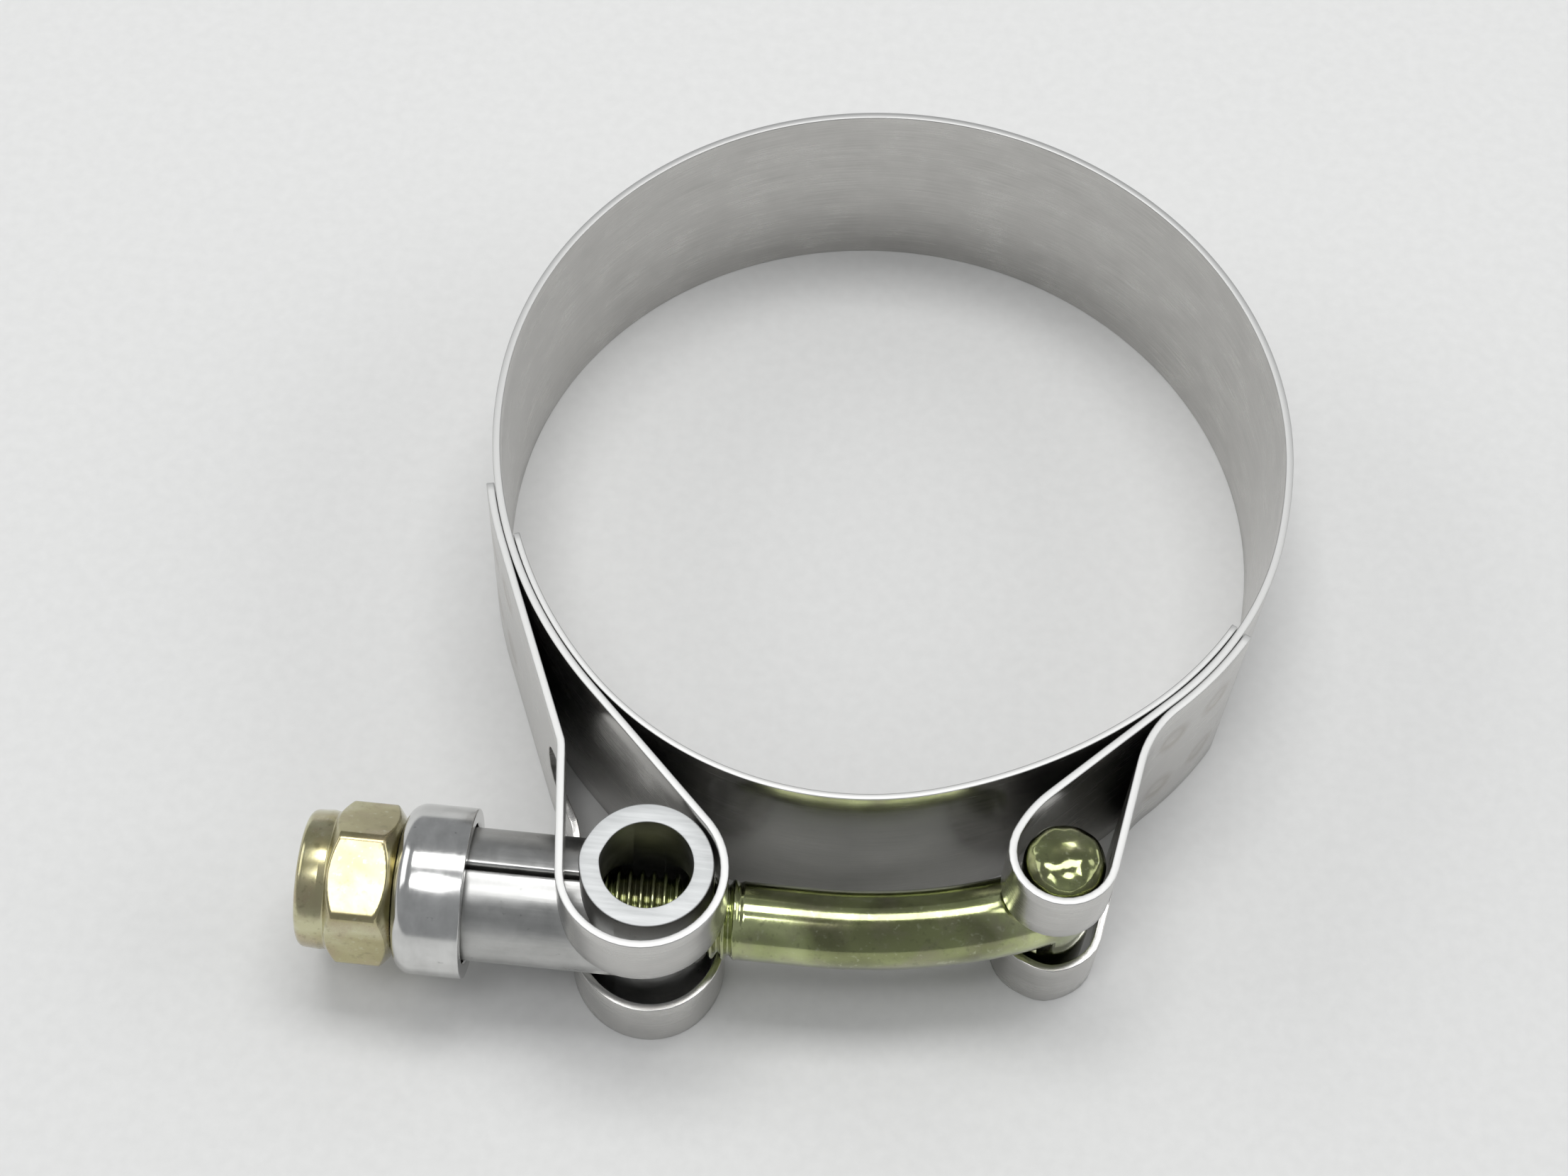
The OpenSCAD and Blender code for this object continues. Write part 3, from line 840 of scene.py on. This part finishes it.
def strip_steel(name, dark, light, rough_lo, rough_hi, spots=()):
    """Rolled stainless strip: fine lines along the strip, faint cloudy patches and small scuffs."""
    m = Shader(name)
    lines = m.noise("UV", (14.0, 900.0, 1.0), detail=3.0, rough=0.6)
    clouds = m.noise("UV", (22.0, 30.0, 1.0), detail=4.0, rough=0.6)
    scuffs = m.noise("UV", (120.0, 260.0, 1.0), detail=6.0, rough=0.7, distortion=0.8)
    color = m.ramp(m.weigh(lines, 0.55, clouds, 0.45), [(0.3, dark), (0.7, light)])
    speck = m.ramp(scuffs, [(0.66, 0.0), (0.76, 1.0)])
    color = m.mix(m.math("MULTIPLY", speck, 0.35), color, darker(dark, 0.6))
    rough = m.ramp(m.weigh(lines, 0.5, clouds, 0.5), [(0.3, rough_lo), (0.7, rough_hi)])
    cut = m.cut_faces(WIDTH / 2)
    color = m.mix(cut, color, STRIP_CUT_COLOR)
    rough = m.mix(cut, rough, STRIP_CUT_ROUGH)
    if spots:
        color = m.mix(m.math("MULTIPLY", m.weld_rings(spots), WELD_TINT_SHARE), color, WELD_TINT)
    m.surface(color, rough, metallic=1.0)
    m.bump(m.weigh(lines, 0.6, scuffs, 0.25), strength=0.12, distance=0.00004)
    return m.mat


def turned_steel(name, dark, light, rough_lo, rough_hi, grain, strength, cut_half=None):
    """Formed stainless piece: mottling, drawing lines and specks; matt and sawn where it is cut off."""
    m = Shader(name)
    mottle = m.noise("Object", (420.0, 420.0, 420.0), detail=5.0, rough=0.62, distortion=0.4)
    lines = m.noise("Object", grain, detail=3.0, rough=0.6)
    specks = m.noise("Object", (1500.0, 1500.0, 1500.0), detail=2.0, rough=0.5)
    tone = m.weigh(mottle, 0.6, lines, 0.4)
    color = m.ramp(tone, [(0.32, dark), (0.68, light)])
    speck = m.ramp(specks, [(0.70, 0.0), (0.78, 1.0)])
    color = m.mix(m.math("MULTIPLY", speck, 0.5), color, darker(dark, 0.45))
    rough = m.ramp(tone, [(0.3, rough_lo), (0.7, rough_hi)])
    if cut_half:
        cut = m.cut_faces(cut_half)
        saw = m.noise("Object", (260.0, 3000.0, 100.0), detail=3.0, rough=0.6)
        color = m.mix(cut, color, m.ramp(saw, [(0.3, SAW_DARK), (0.7, SAW_LIGHT)]))
        rough = m.mix(cut, rough, SAW_ROUGH)
    m.surface(color, rough, metallic=1.0)
    m.bump(m.weigh(mottle, 0.7, lines, 0.3), strength, distance=0.00006)
    return m.mat


def zinc(name, low, middle, high, blush, rough_lo, rough_hi, coat):
    """Yellow zinc plate: drifting yellow, green and pink tints over a bright metal."""
    m = Shader(name)
    drift = m.noise("Object", (130.0, 200.0, 200.0), detail=2.0, rough=0.5, distortion=0.4)
    patch = m.noise("Object", (330.0, 330.0, 330.0), detail=4.0, rough=0.6, distortion=0.3)
    grain = m.noise("Object", (1800.0, 1800.0, 1800.0), detail=3.0, rough=0.6)
    color = m.ramp(drift, [(0.32, low), (0.5, middle), (0.66, high)])
    color = m.mix(m.ramp(patch, [(0.48, 0.0), (0.72, 0.6)]), color, blush)
    wear = m.ramp(grain, [(0.58, 0.0), (0.70, 1.0)])
    color = m.mix(m.math("MULTIPLY", wear, 0.32), color, darker(low, 0.5))
    glint = m.ramp(grain, [(0.30, 1.0), (0.40, 0.0)])
    color = m.mix(m.math("MULTIPLY", glint, 0.3), color, tuple(0.3 + 0.7 * c for c in high))
    m.surface(color, m.ramp(patch, [(0.3, rough_lo), (0.7, rough_hi)]), metallic=1.0)
    m.put(m.bsdf, "Coat Weight", coat)
    m.put(m.bsdf, "Coat Roughness", COAT_ROUGH)
    m.bump(m.weigh(patch, 0.5, grain, 0.5), strength=0.14, distance=0.00005)
    return m.mat


def nylon(name):
    """Slightly milky moulded nylon."""
    m = Shader(name)
    cloud = m.noise("Object", (500.0, 500.0, 500.0), detail=4.0, rough=0.6)
    color = m.ramp(cloud, [(0.3, (0.74, 0.75, 0.70)), (0.7, (0.86, 0.87, 0.83))])
    m.surface(color, m.ramp(cloud, [(0.3, 0.38), (0.7, 0.52)]), metallic=0.0)
    m.put(m.bsdf, "Subsurface Weight", 0.15)
    m.put(m.bsdf, "Subsurface Radius", (0.001, 0.001, 0.0008))
    m.bump(cloud, strength=0.1, distance=0.00005)
    return m.mat


def studio_floor(name):
    """Plain pale matt floor."""
    m = Shader(name)
    fine = m.noise("Object", (900.0, 900.0, 900.0), detail=3.0, rough=0.5)
    color = m.ramp(fine, [(0.3, (0.76, 0.76, 0.75)), (0.7, (0.79, 0.79, 0.78))])
    m.surface(color, 0.9, metallic=0.0)
    m.put(m.bsdf, "Specular IOR Level", 0.1)
    return m.mat


def wear_material(obj, material):
    """Gives a piece its one material."""
    obj.data.materials.clear()
    obj.data.materials.append(material)


wear_material(band, strip_steel(
    "band_steel", dark=(0.47, 0.46, 0.445), light=(0.66, 0.65, 0.63),
    rough_lo=0.19, rough_hi=0.31, spots=welds))
wear_material(liner, strip_steel(
    "liner_steel", dark=(0.47, 0.465, 0.45), light=(0.65, 0.64, 0.625),
    rough_lo=0.17, rough_hi=0.29))
wear_material(trunnion, turned_steel(
    "trunnion_steel", dark=(0.40, 0.40, 0.39), light=(0.56, 0.56, 0.55),
    rough_lo=0.26, rough_hi=0.42, grain=(90.0, 900.0, 900.0), strength=0.2, cut_half=BARREL_HALF))
wear_material(cap, turned_steel(
    "cap_steel", dark=(0.56, 0.56, 0.55), light=(0.74, 0.74, 0.73),
    rough_lo=0.12, rough_hi=0.22, grain=(900.0, 260.0, 260.0), strength=0.12))
wear_material(bolt, zinc(
    "bolt_zinc", low=(0.16, 0.17, 0.07), middle=(0.32, 0.36, 0.15), high=(0.52, 0.57, 0.28),
    blush=(0.28, 0.25, 0.19), rough_lo=0.09, rough_hi=0.20, coat=0.9))
wear_material(nut, zinc(
    "nut_zinc", low=(0.29, 0.25, 0.11), middle=(0.44, 0.40, 0.21), high=(0.60, 0.58, 0.37),
    blush=(0.42, 0.32, 0.22), rough_lo=0.17, rough_hi=0.30, coat=0.6))
wear_material(insert, nylon("insert_nylon"))

# Bodies

for piece, node, slot in ((band, "band", "band_steel"), (liner, "liner", "liner_steel")):
    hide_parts(node)
    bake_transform(piece)
for piece, node, slot, body in (
        (trunnion, "trunnion", "trunnion_steel", "trunnion"), (bolt, "t_bolt", "bolt_zinc", "bolt"),
        (cap, "cap", "cap_steel", "cap"), (nut, "nut", "nut_zinc", "nut"),
        (insert, "nut_insert", "insert_nylon", "nut")):
    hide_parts(node)
    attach(piece, body)

# Floor and light

FLOOR_HALF = 3000
SKY, SKY_STRENGTH = (0.80, 0.82, 0.84, 1), 0.40
floor = new_object("floor", [
    (-FLOOR_HALF, -FLOOR_HALF, 0), (FLOOR_HALF, -FLOOR_HALF, 0),
    (FLOOR_HALF, FLOOR_HALF, 0), (-FLOOR_HALF, FLOOR_HALF, 0),
], [(0, 1, 2, 3)])
wear_material(floor, studio_floor("floor"))

world = bpy.data.worlds.new("studio")
world.use_nodes = True
scene.world = world
background = world.node_tree.nodes["Background"]
background.inputs["Color"].default_value = SKY
background.inputs["Strength"].default_value = SKY_STRENGTH


def soft_light(name, place, size, size_y, power):
    """A broad lamp, in metres and watts, that faces the origin."""
    data = bpy.data.lights.new(name, "AREA")
    data.shape = "RECTANGLE"
    data.size, data.size_y = size, size_y
    data.energy = power
    lamp = bpy.data.objects.new(name, data)
    lamp.location = place
    lamp.rotation_euler = (-Vector(place)).to_track_quat("-Z", "Y").to_euler()
    scene.collection.objects.link(lamp)


soft_light("ceiling", (0.0, 0.22, 0.95), size=0.7, size_y=0.3, power=4.0)
soft_light("lamp", (-0.18, -0.27, 0.93), size=0.26, size_y=0.3, power=1.3)
soft_light("left", (-0.95, 0.15, 0.6), size=0.8, size_y=0.6, power=2.5)
soft_light("right", (0.95, 0.15, 0.6), size=0.8, size_y=0.6, power=2.5)

# Camera

CAMERA_PLACE = (-0.0043701, -0.1264083, 0.2052091)
CAMERA_ANGLES = (30.448, -2.1065, 5.2643)
camera = bpy.data.cameras.new("camera")
camera.sensor_width = 36.0
camera.sensor_fit = "HORIZONTAL"
camera.lens = 62.92
camera.clip_start, camera.clip_end = 0.01, 10
eye = bpy.data.objects.new("camera", camera)
turn = Euler([math.radians(angle) for angle in CAMERA_ANGLES])
eye.matrix_world = Matrix.LocRotScale(Vector(CAMERA_PLACE), turn, None)
scene.collection.objects.link(eye)
scene.camera = eye
scene.view_settings.view_transform = "Standard"
